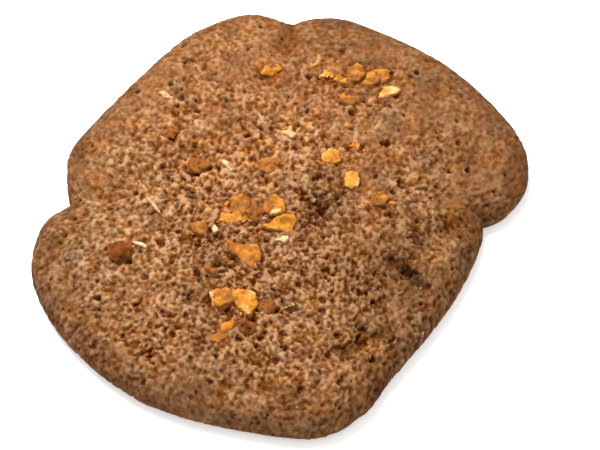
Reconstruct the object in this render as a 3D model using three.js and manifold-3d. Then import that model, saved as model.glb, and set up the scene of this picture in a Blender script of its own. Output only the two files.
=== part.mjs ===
// A flat, hand-shaped spiced biscuit: an uneven four-lobed cake of coarse brown dough,
// with chopped roasted nuts baked into its top.
// Millimetres, +Z up, standing on its flat underside at z = 0, with the origin under its middle.

import * as THREE from 'three';
import { ImprovedNoise } from 'three/addons/math/ImprovedNoise.js';
import { mergeVertices } from 'three/addons/utils/BufferGeometryUtils.js';
import Module from 'manifold-3d';

// Driving dimensions.
const MIDDLE_THICKNESS = 9.2; // dough in the middle
const SHOULDER_THICKNESS = 7.6; // dough where the rounded rim meets the top
const RIM_HEIGHT = 2.6; // height of the widest line round the rim
const RIM_ROUNDING = 8; // how far in from the edge the rim goes on rounding over
const FOOT_INSET = 2; // how far the underside draws in below the rim
const FOOT_CURVE = 0.6; // power of the curve from the widest line down to the underside
const DOME_REACH = 12; // how quickly the top rises from the shoulder to the middle
const TRAY = 140; // side of the flat baking tray that the underside takes its shape from

// The outline, seen from above: four arcs of dough, anticlockwise as listed, that meet at
// a cleft behind, one on the left, a blunt corner in front on the left and a cleft on the right.
const CLEFT_BEHIND = [1.5, 46];
const CLEFT_LEFT = [-43, 2];
const CORNER_FRONT = [-28, -41];
const CLEFT_RIGHT = [40, -2];
const OUTLINE_ARCS = [
  [CLEFT_RIGHT, [45, 0.5], [49.5, 8], [47.5, 19.5], [34, 35.5], [16, 46], [7.5, 47.5], CLEFT_BEHIND],
  [CLEFT_BEHIND, [-7, 48.5], [-16, 45.5], [-25, 38.5], [-42, 17.5], [-44, 9.5], CLEFT_LEFT],
  [CLEFT_LEFT, [-48.5, -3], [-50, -13.5], [-45, -25], [-36.5, -34.5], CORNER_FRONT],
  [
    CORNER_FRONT,
    [-16, -45.5],
    [5, -49],
    [18, -42],
    [20.5, -37.5],
    [31, -23.5],
    [36.5, -14],
    [39.5, -6.5],
    CLEFT_RIGHT,
  ],
];

// Folds and grooves where lobes of dough meet: from, to, half width and depth.
const FURROWS = [
  { from: CLEFT_RIGHT, to: [32, -6], halfWidth: 2.2, depth: 2 },
  { from: CLEFT_BEHIND, to: [0, 37], halfWidth: 2.2, depth: 1.4 },
  { from: CLEFT_LEFT, to: [-35, 1], halfWidth: 2.2, depth: 1.2 },
  { from: [11, -34], to: [20, -29], halfWidth: 1.3, depth: 1.4 },
  { from: [19, -38], to: [16.5, -35.5], halfWidth: 1.8, depth: 1.3 },
  { from: [-14, -40.5], to: [4, -42.5], halfWidth: 1.4, depth: 0.7 },
];

// Patches where the crust has sunk: middle, radius and depth.
const SUNKEN_PATCHES = [
  { middle: [24.5, -14.5], radius: 3, depth: 1.1 },
  { middle: [7.5, -2], radius: 3, depth: 0.9 },
  { middle: [21, 13.5], radius: 1.8, depth: 0.7 },
  { middle: [24, 3.5], radius: 1.8, depth: 0.7 },
];

// Crags of the crust: wavelength and height of each size of swelling.
const CRAGS = [
  { wavelength: 19, height: 0.7 },
  { wavelength: 7.5, height: 0.5 },
  { wavelength: 3.6, height: 0.4 },
];

// Chopped nuts: where each lies, its length and width, and how far its length is turned from +X.
const NUT_BITS = [
  // The clump behind, right of the middle.
  { at: [17, 29.5], length: 4.6, width: 4.2, turn: 0 },
  { at: [20.5, 31], length: 4.4, width: 3, turn: 15 },
  { at: [21, 25.5], length: 4.8, width: 3.2, turn: 25 },
  { at: [14.5, 33], length: 4.2, width: 2, turn: 80 },
  { at: [12.5, 28.5], length: 3, width: 2.6, turn: 30 },
  { at: [8.5, 30], length: 2.4, width: 2, turn: 60 },
  { at: [12.5, 24], length: 4, width: 3.4, turn: 10 },
  { at: [17, 33.5], length: 3.4, width: 3, turn: 45 },
  { at: [21.5, 20], length: 5, width: 4.2, turn: 100 },
  { at: [-2.5, 31], length: 3.4, width: 2.2, turn: 45 },
  // Right of the middle.
  { at: [13.5, 4.5], length: 3.6, width: 3.4, turn: 90 },
  { at: [9, 10], length: 4.6, width: 3.4, turn: -10 },
  { at: [14.5, 12.5], length: 2.4, width: 2, turn: 20 },
  { at: [19, 0.5], length: 4.2, width: 3.6, turn: -20 },
  { at: [1.5, 16], length: 3.4, width: 2.4, turn: -15 },
  { at: [-3, 8], length: 4.6, width: 3.8, turn: 20 },
  // The clump in the middle.
  { at: [-0.5, -6], length: 6.8, width: 4.6, turn: -10 },
  { at: [-2, -1.5], length: 4.4, width: 3.4, turn: 10 },
  { at: [-5.5, -3], length: 4.6, width: 3.6, turn: 80 },
  { at: [-10, -2.5], length: 5, width: 3.6, turn: 20 },
  { at: [-16, -6], length: 4.6, width: 3, turn: 5 },
  { at: [-6, -12.5], length: 5.4, width: 4.4, turn: -35 },
  { at: [-9, -11.5], length: 2.8, width: 2.4, turn: 70 },
  // The clump in front of it.
  { at: [-12, -22], length: 4.2, width: 4, turn: 60 },
  { at: [-7, -23], length: 5.4, width: 4.6, turn: -60 },
  { at: [-3, -23.5], length: 4.6, width: 4, turn: 80 },
  { at: [-11.5, -29], length: 6.2, width: 2.6, turn: 48 },
  { at: [-7, -28.5], length: 5.4, width: 3.4, turn: 10 },
  { at: [1, -24], length: 3.8, width: 2.4, turn: 15 },
  { at: [-14, -16.5], length: 3, width: 2.8, turn: 0 },
  // Single bits on the left and by the right fold.
  { at: [-32, -11.5], length: 5.8, width: 5, turn: 30 },
  { at: [-23, 16], length: 3.8, width: 3.6, turn: 40 },
  { at: [-17, 8.5], length: 4.2, width: 4, turn: 0 },
  { at: [-24, 25], length: 3.4, width: 2, turn: -20 },
  { at: [-41.5, -12], length: 3.4, width: 2.8, turn: 15 },
  { at: [26, -8], length: 4.6, width: 3, turn: -20 },
];
const BIT_HEIGHT_SHARE = 0.75; // height of a bit as a share of its width
const BIT_LIFT_SHARE = 0.14; // how far its middle lies above the crust, as a share of its height
const BIT_UNEVENNESS = 0.35; // how far its corners stray, as a share of its radius
const BIT_RAGGEDNESS = 1.5; // how much one corner's stray differs from the next one's

// How finely the dough is faceted.
const RINGS = 38; // rings of facets from the middle to the edge, which is also each arc's share
const RING_CROWDING = 1.25; // above 1 the rings draw together towards the rim
const ARC_SAMPLES = 60; // straight steps along an arc when the distance to the edge is measured
const MERGE_DISTANCE = 1e-3; // corners closer than this are one
const FULL_TURN = 2 * Math.PI;

const outlineCurves = OUTLINE_ARCS.map(
  (points) => new THREE.SplineCurve(points.map(([x, y]) => new THREE.Vector2(x, y))),
);
const outlinePoints = outlineCurves.flatMap((curve) => curve.getSpacedPoints(ARC_SAMPLES));
const noise = new ImprovedNoise();

// Distance from a point to the straight line between two others, all seen from above.
function distanceToSegment(x, y, start, end) {
  const alongX = end[0] - start[0];
  const alongY = end[1] - start[1];
  const lengthSquared = alongX * alongX + alongY * alongY;
  const share = lengthSquared
    ? THREE.MathUtils.clamp(((x - start[0]) * alongX + (y - start[1]) * alongY) / lengthSquared, 0, 1)
    : 0;
  return Math.hypot(x - start[0] - share * alongX, y - start[1] - share * alongY);
}

// Distance from a point to the edge of the biscuit, seen from above.
function distanceToEdge(x, y) {
  let nearest = Infinity;
  outlinePoints.forEach((point, index) => {
    const next = outlinePoints[(index + 1) % outlinePoints.length];
    nearest = Math.min(nearest, distanceToSegment(x, y, point.toArray(), next.toArray()));
  });
  return nearest;
}

// Height of the crust over a point: rounded rim, low dome, crags, furrows and sunken patches.
function crustHeight(x, y) {
  const inward = distanceToEdge(x, y);
  const rimShare = Math.min(inward / RIM_ROUNDING, 1);
  const rim = (SHOULDER_THICKNESS - RIM_HEIGHT) * Math.sqrt(1 - (1 - rimShare) ** 2);
  const pastRim = Math.max(inward - RIM_ROUNDING, 0);
  const dome = (MIDDLE_THICKNESS - SHOULDER_THICKNESS) * (1 - Math.exp(-pastRim / DOME_REACH));
  let relief = 0;
  CRAGS.forEach(({ wavelength, height }) => {
    relief += height * noise.noise(x / wavelength, y / wavelength, wavelength);
  });
  FURROWS.forEach(({ from, to, halfWidth, depth }) => {
    relief -= depth * Math.exp(-((distanceToSegment(x, y, from, to) / halfWidth) ** 2));
  });
  SUNKEN_PATCHES.forEach(({ middle, radius, depth }) => {
    relief -= depth * Math.exp(-((distanceToSegment(x, y, middle, middle) / radius) ** 2));
  });
  return RIM_HEIGHT + rim + dome + rimShare * relief;
}

// Height of the lower side, which draws in below the rim and runs on down through the tray.
function footHeight(x, y) {
  return RIM_HEIGHT * (1 - (distanceToEdge(x, y) / FOOT_INSET) ** FOOT_CURVE);
}

// The point of the outline that a corner of the octahedron belongs to. Each quarter of the
// octahedron's waist is one arc, and the corner's share of the quarter is its share of the arc.
function edgePoint(corner, ring) {
  const angle = (Math.atan2(corner.y, corner.x) + FULL_TURN) % FULL_TURN;
  const quarter = Math.floor(angle / (FULL_TURN / OUTLINE_ARCS.length));
  const along = quarter % 2 ? Math.abs(corner.x) : Math.abs(corner.y);
  return outlineCurves[quarter].getPointAt(Math.min(along / ring, 1));
}

// An octahedron with one arc of the outline on each edge of its waist: its upper faces
// spread out as the crust and its lower faces as the lower side.
function doughGeometry() {
  const geometry = new THREE.OctahedronGeometry(1, RINGS - 1);
  const positions = geometry.getAttribute('position');
  const corner = new THREE.Vector3();
  for (let index = 0; index < positions.count; index += 1) {
    corner.fromBufferAttribute(positions, index);
    corner.divideScalar(Math.abs(corner.x) + Math.abs(corner.y) + Math.abs(corner.z));
    const ring = Math.abs(corner.x) + Math.abs(corner.y);
    const outward = 1 - (1 - Math.min(ring, 1)) ** RING_CROWDING;
    const place = new THREE.Vector2();
    if (ring > MERGE_DISTANCE) {
      place.copy(edgePoint(corner, ring)).multiplyScalar(outward);
    }
    const isCrust = corner.z > -MERGE_DISTANCE;
    const height = isCrust ? crustHeight(place.x, place.y) : footHeight(place.x, place.y);
    positions.setXYZ(index, place.x, place.y, height);
  }
  return geometry;
}

// A chopped bit of nut: an uneven twenty-sided lump, pressed into the crust.
function bitGeometry({ at, length, width, turn }, seed) {
  const geometry = new THREE.IcosahedronGeometry(1, 0);
  const positions = geometry.getAttribute('position');
  const corner = new THREE.Vector3();
  for (let index = 0; index < positions.count; index += 1) {
    corner.fromBufferAttribute(positions, index);
    const stray = noise.noise(corner.x * BIT_RAGGEDNESS + seed, corner.y * BIT_RAGGEDNESS, corner.z);
    corner.multiplyScalar(1 + BIT_UNEVENNESS * stray);
    positions.setXYZ(index, corner.x, corner.y, corner.z);
  }
  const height = BIT_HEIGHT_SHARE * width;
  geometry.scale(length / 2, width / 2, height / 2);
  geometry.rotateZ(THREE.MathUtils.degToRad(turn));
  geometry.translate(at[0], at[1], crustHeight(at[0], at[1]) + BIT_LIFT_SHARE * height);
  return geometry;
}

const wasm = await Module();
wasm.setup();

// A closed geometry as a solid that can be joined and cut.
function solidOf(geometry) {
  geometry.deleteAttribute('normal');
  geometry.deleteAttribute('uv');
  const merged = mergeVertices(geometry, MERGE_DISTANCE);
  const mesh = new wasm.Mesh({
    numProp: 3,
    vertProperties: new Float32Array(merged.getAttribute('position').array),
    triVerts: new Uint32Array(merged.index.array),
  });
  return new wasm.Manifold(mesh);
}

// A solid back as a geometry, with its facets' normals.
function geometryOf(solid) {
  const mesh = solid.getMesh();
  const geometry = new THREE.BufferGeometry();
  geometry.setAttribute('position', new THREE.BufferAttribute(mesh.vertProperties, 3));
  geometry.setIndex(new THREE.BufferAttribute(mesh.triVerts, 1));
  geometry.computeVertexNormals();
  return geometry;
}

// The dough flattened underneath by the tray, with the nuts joined to it,
// moved so that the middle of its outline is over the origin.
function biscuitGeometry() {
  const tray = new THREE.BoxGeometry(TRAY, TRAY, TRAY).translate(0, 0, -TRAY / 2);
  const dough = solidOf(doughGeometry()).subtract(solidOf(tray));
  const whole = NUT_BITS.reduce((joined, bit, index) => joined.add(solidOf(bitGeometry(bit, index))), dough);
  const middle = new THREE.Box2().setFromPoints(outlinePoints).getCenter(new THREE.Vector2());
  return geometryOf(whole).translate(-middle.x, -middle.y, 0);
}

const spicedDough = new THREE.MeshStandardMaterial({ color: '#9e6b41', roughness: 0.85, metalness: 0 });

const biscuit = new THREE.Mesh(biscuitGeometry(), spicedDough);
biscuit.name = 'biscuit';

const speculaas = new THREE.Group();
speculaas.add(biscuit);

export default speculaas;
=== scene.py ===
"""Looks of a hand-shaped spiced biscuit with chopped nuts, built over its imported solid.

Metres, +Z up. The dough is one fine mesh laid over the biscuit's outline, with its crags, pores
and grain in the mesh. Nut bits, pale slivers and loose crumbs are further meshes on top of it.
"""

import math

import bpy
import numpy as np
from mathutils import Matrix, Vector, bvhtree, kdtree, noise


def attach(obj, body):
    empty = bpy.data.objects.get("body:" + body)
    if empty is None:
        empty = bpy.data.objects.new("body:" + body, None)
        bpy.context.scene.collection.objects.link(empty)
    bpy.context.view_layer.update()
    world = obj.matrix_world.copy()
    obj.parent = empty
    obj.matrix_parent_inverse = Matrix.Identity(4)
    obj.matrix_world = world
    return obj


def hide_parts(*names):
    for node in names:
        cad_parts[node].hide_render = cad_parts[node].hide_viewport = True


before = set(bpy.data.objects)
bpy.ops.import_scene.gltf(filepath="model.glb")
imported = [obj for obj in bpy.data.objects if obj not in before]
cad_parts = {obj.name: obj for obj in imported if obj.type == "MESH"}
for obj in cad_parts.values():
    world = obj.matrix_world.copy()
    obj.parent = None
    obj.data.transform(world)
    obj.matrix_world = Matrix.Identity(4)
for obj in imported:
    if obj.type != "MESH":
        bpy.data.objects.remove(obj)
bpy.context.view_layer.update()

MM = 0.001
SEED = 7
noise.seed_set(SEED)  # else the swirls of noise_vector differ from run to run
UP = Vector((0, 0, 1))
DOWN = Vector((0, 0, -1))
RAY_START = 1  # rays that look for the crust start this high

# The biscuit's outline seen from above: four arcs that meet at three clefts and a blunt corner.
CLEFT_BEHIND = (1.5, 46)
CLEFT_LEFT = (-43, 2)
CORNER_FRONT = (-28, -41)
CLEFT_RIGHT = (40, -2)
OUTLINE_ARCS_MM = (
    (CLEFT_RIGHT, (45, 0.5), (49.5, 8), (47.5, 19.5), (34, 35.5), (16, 46), (7.5, 47.5), CLEFT_BEHIND),
    (CLEFT_BEHIND, (-7, 48.5), (-16, 45.5), (-25, 38.5), (-42, 17.5), (-44, 9.5), CLEFT_LEFT),
    (CLEFT_LEFT, (-48.5, -3), (-50, -13.5), (-45, -25), (-36.5, -34.5), CORNER_FRONT),
    (CORNER_FRONT, (-16, -45.5), (5, -49), (15.5, -43.9), (20.6, -37), (31, -23.5), (36.5, -14),
     (39.5, -6.5), CLEFT_RIGHT),
)

# The dough's section, as in the solid.
MIDDLE_THICKNESS = 9.2 * MM
SHOULDER_THICKNESS = 7.6 * MM
RIM_HEIGHT = 2.6 * MM
RIM_ROUNDING = 8 * MM
FOOT_INSET = 2 * MM
DOME_REACH = 12 * MM

# Folds and grooves, and swellings with a depth below zero, over nuts under the dough: from, to,
# half width and depth, all in millimetres.
FURROWS_MM = (
    (CLEFT_RIGHT, (32, -6), 2.2, 2.0),
    (CLEFT_BEHIND, (0, 37), 2.2, 1.4),
    (CLEFT_LEFT, (-35, 1), 2.2, 1.2),
    ((11, -34), (20, -29), 1.3, 1.4),
    ((19.5, -39.5), (18, -36.5), 3.2, 0.8),
    ((-14, -40.5), (4, -42.5), 1.4, 0.7),
    ((24.5, -15), (24.5, -15), 2.6, 0.35),
    ((20.5, -12.6), (24, -15), 0.7, 1.2),
    ((24, -15), (28, -18.4), 0.9, 1.6),
    ((7.5, -2), (7.5, -2), 3.0, 0.9),
    ((21, 13.5), (21, 13.5), 1.8, 0.7),
    ((24, 3.5), (24, 3.5), 1.8, 0.7),
    ((17.6, 21.2), (17.8, 18.4), 0.7, 0.7),
    ((20.4, 20.4), (21.6, 19.6), 2.4, -0.8),
    ((16.6, 33.8), (17.4, 33.8), 1.4, -0.5),
    ((-42, -12), (-41, -12), 1.5, -0.5),
)
FURROW_SHADE = 0.12  # share of a furrow's depth by which its crumb is painted darker, as painted shade in the furrow

# Swellings of the crust: wavelength and height.
CRAGS = ((19 * MM, 0.7 * MM), (7.5 * MM, 0.5 * MM), (3.6 * MM, 0.35 * MM))
CRAG_LEVEL = 1  # where the noise is cut, so that the pattern is one of its own

# Paler and darker areas of the dough, partly its own uneven tone and partly painted shade in hollows and
# grooves, beside swellings and toward the front right, away from the lamp: place and reach in millimetres,
# change of its lightness.
TONE_PATCHES_MM = (
    ((20.5, -20.5), 9, -0.3), ((9.5, -11), 9, -0.16), ((34, 12), 13, -0.14), ((10, 42), 7, -0.25),
    ((33, 33), 8, -0.14), ((-38, 1), 6, 0.15), ((-43, -10), 9, -0.15), ((-38, 18), 8, -0.14),
    ((-15.5, 8.5), 9, 0.16), ((8.5, 17.5), 9, 0.15), ((-16, -38), 8, -0.2), ((-14.5, -47), 5, 0.2),
    ((-26.5, -9), 8, 0.08), ((-14.5, -10.5), 7, -0.12), ((-2.5, -21), 7, -0.08), ((9.5, -31), 8, -0.1),
    ((21.5, -10.5), 7, -0.08), ((33.5, -10.5), 6, -0.12), ((44.5, 20), 8, -0.1),
    ((19.5, -39), 3, -0.25), ((22.5, -13.8), 2, -0.25), ((26, -16.8), 2.4, -0.38),
    ((7.5, -0.8), 4.5, -0.4), ((-15.5, -20), 4, -0.3), ((-13.5, -15), 3, -0.25), ((22, -37), 7, 0.13),
    ((-2.5, 31), 9, 0.05), ((45.5, 0), 6, 0.06), ((33.5, -21), 6, 0.06), ((-14.5, 0), 7, 0.05),
    ((-26.5, -21), 7, -0.04), ((26, -8), 3, -0.42), ((20.8, 20), 3, -0.31), ((18.6, 19.6), 1.4, -0.25),
    ((17, 33.8), 2, -0.15), ((-45.6, -7.5), 1.6, -0.3), ((-42, -12), 2, -0.3),
)
# Cooler areas, and amber ones below zero; at the rims the coolness is painted cool light thrown up from the
# white floor, elsewhere it is the dough's own tone: place and reach in millimetres, how much stronger the
# blue is and half that the green.
COOL_PATCHES_MM = (
    ((-34, 2), 12, 0.16), ((-44, -18), 10, 0.12), ((-18, -45), 8, 0.14), ((38, -16), 8, 0.1),
    ((13.5, 30), 4.5, -0.35), ((-2.6, 31), 3, -0.3), ((-9, -3), 3.5, -0.3), ((-9, -11.3), 2.5, -0.3),
    ((-3, 8), 3.5, -0.25), ((-13, -23), 3, -0.2), ((-23, 16), 3, -0.2), ((-17, 8.5), 3.5, -0.2),
    ((20.8, 20), 3.2, 0.12), ((17, 33.8), 2.2, 0.5), ((-41.5, -12), 2.4, 0.2),
)
COOL_SHARES = np.array((0, 0.5, 1))  # how much of that its red, green and blue take

# How finely the dough is meshed.
SIDE = 300  # squares along one side of the grid, which becomes one arc of the outline
AROUND = len(OUTLINE_ARCS_MM) * SIDE  # squares around the outline
RING_CROWDING = 1.12  # above 1, the squares crowd towards the rim
SPLINE_STEPS = 60  # points between two corners of an arc, before they are spaced evenly
FOOT_RINGS = 6
NEARLY_ONE = 0.999999  # allows for rounding at the grid's edges
TINY = 1e-9  # keeps the grid's middle from a division by zero
JUST_OVER_RIM = 1.001 * RIM_HEIGHT  # what lies higher is crust, not foot

# The dough's flat layout for baking: a square for the crust, a strip for the foot, a corner below.
CRUST_CORNER = (0.01, 0.21)
CRUST_WIDTH = 0.78
STRIP_START = 0.01
STRIP_LENGTH = 0.77
STRIP_TOP = 0.18
STRIP_WIDTH = 0.17
UNDERSIDE_MIDDLE = (0.9, 0.09)
UNDERSIDE_REACH = 0.08
FIRST_QUARTER = 0.25
LAST_QUARTER = 0.75

# Crumb: crisp grains and gaps on a gentle swell, with pits and pores.
SWELL_SIZE = 1.9 * MM
SWELL_HEIGHT = 0.27 * MM
CRUMB_SIZE = 0.84 * MM
CRUMB_SHIFT = Vector((1, 7, 3))  # sets the crumb's pattern apart from the swell's
CRUMB_CRISPNESS = 1.6  # how sharply grains and gaps are told apart
CRUMB_HEIGHT = 0.2 * MM
PIT_START = 0.15  # how deep a gap is where a pit begins in it, from 0 to 1
PIT_FULL = 0.35  # and how much deeper where the pit is at its deepest
PIT_DEPTH = 0.4 * MM
PIT_SHADE = 0.5  # share of a pit's depth by which its crumb is painted darker, as painted shade in the pit
BEND_SIZE = 0.9 * MM  # grains and pores are bent by swirls of this size
BEND_REACH = 0.3 * MM
PORE_COUNT = 1150  # drawn pores, of which fewer stay where the crumb is fine
PORE_RADII = (0.36 * MM, 0.8 * MM)
PORE_SMALLNESS = 3  # the higher, the more of the pores are small
PORE_THINNING = 2.2  # the higher, the fewer pores stay where the crumb is fine
PORE_STEEPNESS = 1.3  # depth of a pore as a share of its radius
PORE_EDGE = 1.5 * MM  # the rim has no pores this far in
PORE_RAGGEDNESS = 0.42 * MM
# The largest holes: place and radius in millimetres.
HOLES_MM = (
    (21, 13.5, 0.8), (7.5, -2, 0.9), (14.5, -29.5, 0.9), (-10.5, -15.5, 0.8), (-10.5, -25.5, 1.1),
    (-26, -33, 0.9), (23.5, 4, 0.8), (-21.5, 23, 0.6), (2.5, 17.5, 0.7), (7, -27.5, 0.7), (-23, 5, 0.6),
)
HOLE_DEPTH = 0.75 * MM
HOLE_LEVEL = 2 * MM  # where the noise is cut for their ragged edges
HOLE_FLATNESS = 1.2  # above 1, a hole has a flat bottom
HOLE_RAGGEDNESS = 1.6
HOLE_REACH = 2  # no hole reaches past so many radii
GAP_SIZE = 1.7 * MM  # uneven gaps and collars of dough around the nut bits
GAP_HEIGHT = 0.7 * MM
GAP_BIAS = -0.05  # more collars than gaps
GAP_WIDTH = 0.7 * MM
FRONT_GAP_DEPTH = 0.15 * MM  # the dough parts from the chips in front of them
FRONT_GAP_SHIFT = 0.6 * MM
PRESSED_DEPTH = 0.45 * MM  # the dough is pressed down this far under chips and lumps
PRESSED_INSET = 0.25 * MM  # from this far in from a bit's edge
PRESSED_SLOPE = 0.4 * MM
CHIP_SURROUNDINGS = 8 * MM  # no chip acts on the dough farther than this from its middle
AMBER_WIDTH = 1.4 * MM  # nut oil browns the dough this far around the golden chips
RELIEF_FADE = 1.5 * MM  # the grain fades out this far above the underside
COARSEST = Vector((-4, -14)) * MM  # where the crumb is coarsest
COARSE_REACH = 45 * MM
FAR_COARSENESS = 0.3  # how coarse it is far from there
ADDED_COARSENESS = 0.72  # and how much coarser there
RIM_COARSENESS = 0.8  # at the edge the crumb is finer by this factor
FINE_RIM = 10 * MM  # how far in from the edge it grows as coarse as elsewhere
PATCH_SIZE = 12 * MM  # patches of finer and coarser crumb
PATCHINESS = 0.25

# Golden chips of nut: place, corners around it and rise in millimetres, tint from amber to pale.
GOLDEN_CHIPS = (
    ((21.2, 25.9), ((-2.2, -1.9), (-1.6, 0.4), (-0.7, 1.4), (1, 1.5), (2.8, 0.7), (1.3, -0.4),
                    (-0.7, -1.1)), 0.9, 0.86),
    ((-0.1, -5.6), ((-4.4, -0.7), (-2.3, 0.5), (-1.1, 1.6), (2.1, 2.4), (2.6, 1), (2, -0.7), (2.5, -2.4),
                    (0.7, -1.7)), 0.9, 0.64),
    ((-7, -12.5), ((-3.6, 2.4), (-1, 2), (1.7, 2.5), (3, 0.4), (2.3, -1.4), (0.8, -3.3), (-1.6, -0.9),
                   (-3.3, 0.7)), 0.55, 0.5),
    ((-16.7, -6.3), ((-2.1, 0.8), (-0.4, 1.4), (1.6, 0.9), (2.1, -0.6), (0.5, -1.5), (-1.2, -1)), 0.45, 0.3),
    ((-2, -1.2), ((-2.2, -0.9), (-1.6, 1.5), (0.2, 2.3), (2.3, 0.8), (2, -1.6), (-0.4, -2.3)), 0.9, 0.5),
    ((-1.3, -3.1), ((-1.1, -0.5), (-0.9, 0.4), (0, 0.9), (0.9, 0.5), (1, -0.4), (0.1, -0.8)), 1.7, 1.45),
    ((-7, -23.2), ((-3.4, 1.5), (-1.6, 2.8), (1.2, 2.1), (2.1, -0.2), (1.4, -1.9), (0.3, -2.8),
                   (-1.3, -1.7), (-2.4, -0.2)), 0.7, 0.7),
    ((-11.9, -22.2), ((-2.1, 1.5), (0.2, 2.3), (2.3, 1.6), (2.1, -0.9), (-0.2, -2.2),
                      (-1.8, -1.2)), 0.55, 0.54),
    ((-11.7, -29.3), ((-2.4, -2), (-1.4, -0.2), (0.1, 1.5), (2.3, 2.6), (2.2, 0.9), (1.2, -0.9),
                      (-0.7, -2.3)), 0.8, 0.45),
    ((13.6, 4.6), ((-1.7, 0.3), (-1.2, 1.5), (0.1, 2), (1.3, 1.5), (1.8, 0.2), (1.2, -1.4), (0, -2),
                   (-1.3, -1.2)), 1.1, 0.86),
    ((9.4, 10), ((-2.1, 0.8), (-0.2, 1.9), (1.8, 1.5), (2.1, -0.7), (0.3, -1.6), (-1.4, -0.9)), 0.35, 0.74),
    ((17, 29.6), ((-3, 0.2), (-1.4, 2.2), (1.3, 2), (2.6, -0.3), (1, -1.8), (-2, -1.5)), 0.3, 0.48),
    ((19.4, 30.6), ((-2.6, -1.4), (-2.2, 1), (0.3, 1.7), (2.4, 1.1), (2.2, -0.9), (0.5, -1.9)), 0.35, 0.5),
    ((14.6, 31.2), ((-1.5, -2.4), (-1.8, 0.6), (0, 2), (1.4, 1.3), (2, -0.6), (1, -2.3)), 0.3, 0.4),
    ((12, 29.2), ((-2, -0.6), (-1, 1), (1.2, 1.2), (2, 0), (0.8, -1.2)), 0.35, 0.56),
    ((8.6, 30.2), ((-1.2, -0.5), (-0.4, 1), (1.2, 0.5), (0.4, -1)), 0.3, 0.75),
    ((-2.6, 31.2), ((-2.2, -0.9), (-1.2, 0.9), (1.3, 1.7), (2, 0.3), (0.3, -1.3)), 0.3, 0.52),
    ((14.3, 12.8), ((-1.2, -0.3), (-0.3, 0.9), (1.1, 0.5), (0.7, -0.7)), 0.7, 0.6),
    ((19, 0.3), ((-1.9, -0.8), (-1, 1.2), (0.8, 1.6), (2, 0.2), (1.2, -1.5), (-0.5, -1.7)), 0.4, 0.32),
    ((-10.2, -3.6), ((-2.9, -1), (-2, 0.8), (0.2, 0.6), (2.4, 1.1), (3, -0.8), (0, -1.7)), 0.7, 0.62),
    ((-8.7, -1.3), ((-2, -1.5), (-1.6, 1.6), (0, 2.6), (1.9, 1.9), (2.2, -0.4), (0.8, -2.2)), 0.55, 0.38),
    ((-6.4, -1.2), ((-1.3, -1.8), (-1.1, 1.4), (0.5, 1.7), (1.3, 0.1), (0.8, -1.9)), 0.55, 0.34),
)

# Brown lumps, nut with its skin on: place, length and width in millimetres, turn in degrees, tint.
SKIN_LUMPS = (
    ((12.5, 24), 4.0, 3.6, 10, 0.88),
    ((-3, 8), 4.6, 3.8, 20, 0.95),
    ((-5.4, -3), 4.4, 3.2, 80, 0.58),
    ((-9, -11.5), 3.0, 2.4, 70, 0.55),
    ((-3.1, -23.6), 4.6, 3.4, 80, 0.62),
    ((-6.8, -28.5), 5.0, 3.4, 10, 0.42),
    ((-14, -16.5), 3.2, 2.8, 0, 0.70),
    ((-32, -11.5), 5.6, 4.8, 30, 0.40),
    ((-23, 16), 4.0, 3.6, 40, 0.62),
    ((-17, 8.5), 4.4, 4.0, 0, 0.68),
    ((1.2, -24), 3.8, 2.4, 15, 0.2),
    ((26, -8), 4.4, 3.0, -20, 0.20),
)

# Pale chips and slivers: place, corners around it and rise in millimetres, tint.
PALE_CHIPS = (
    ((1.3, 15.8), ((-1.7, 0.1), (-1.2, 0.6), (-0.5, 0.4), (0, 1.2), (0.6, 0.5), (1.5, -0.3), (0.5, -1.3),
                   (-0.5, -0.6)), 0.8, 0.8),
    ((-24, 25.2), ((-1.7, 0.6), (-0.4, 0.9), (1.6, -0.4), (1.2, -0.9), (-0.7, -0.3)), 0.7, 0.75),
    ((-28.4, -10), ((-1.5, 0.6), (-0.8, 0.9), (1.5, -0.4), (1.2, -0.8)), 0.7, 1.0),
    ((-11.4, 8.1), ((-1.3, 1.2), (-0.6, 1.5), (1.3, -1.1), (0.7, -1.5)), 0.9, 1.0),
    ((-0.4, -9.2), ((-1.5, -0.1), (-0.3, 0.6), (1.4, 0.4), (0.6, -0.6)), 0.8, 1.0),
    ((-13.4, -6.7), ((-0.4, -1), (-0.7, 0.1), (-0.2, 0.9), (0.5, 0.5), (0.6, -0.4)), 0.8, 1.0),
    ((0.9, -24.2), ((-1.3, -0.5), (-1.2, -0.1), (1.1, 0.6), (1.3, 0.3)), 1.0, 0.6),
    ((-13.8, -22.4), ((-0.6, 1.6), (-0.1, 1.7), (0.5, 0), (0.7, -1.6), (0.2, -1.7), (0, -0.1)), 1.5, 0.8),
    ((-28, 3), ((-1.3, 1.7), (-1, 1.8), (0.3, 0.1), (1.3, -1.6), (1, -1.8), (-0.3, -0.1)), 0.5, 0.45),
    ((-26, -1), ((-1.8, 2.2), (-1.5, 2.4), (0.3, 0.2), (1.8, -2.2), (1.5, -2.4), (-0.3, -0.1)), 0.5, 0.5),
)

# Small splinters strewn around the golden chips.
SPLINTER_COUNT = 44
SPLINTER_SPREAD_MM = 1.9
SPLINTER_CORNERS = 6
SPLINTER_REACHES_MM = (0.4, 0.9)
SPLINTER_RISES_MM = (0.1, 0.35)
SPLINTER_TINTS = (0.15, 0.6)
SPLINTER_UNEVENNESS = (0.6, 1.3)  # least and greatest reach of a corner, as a factor

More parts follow.
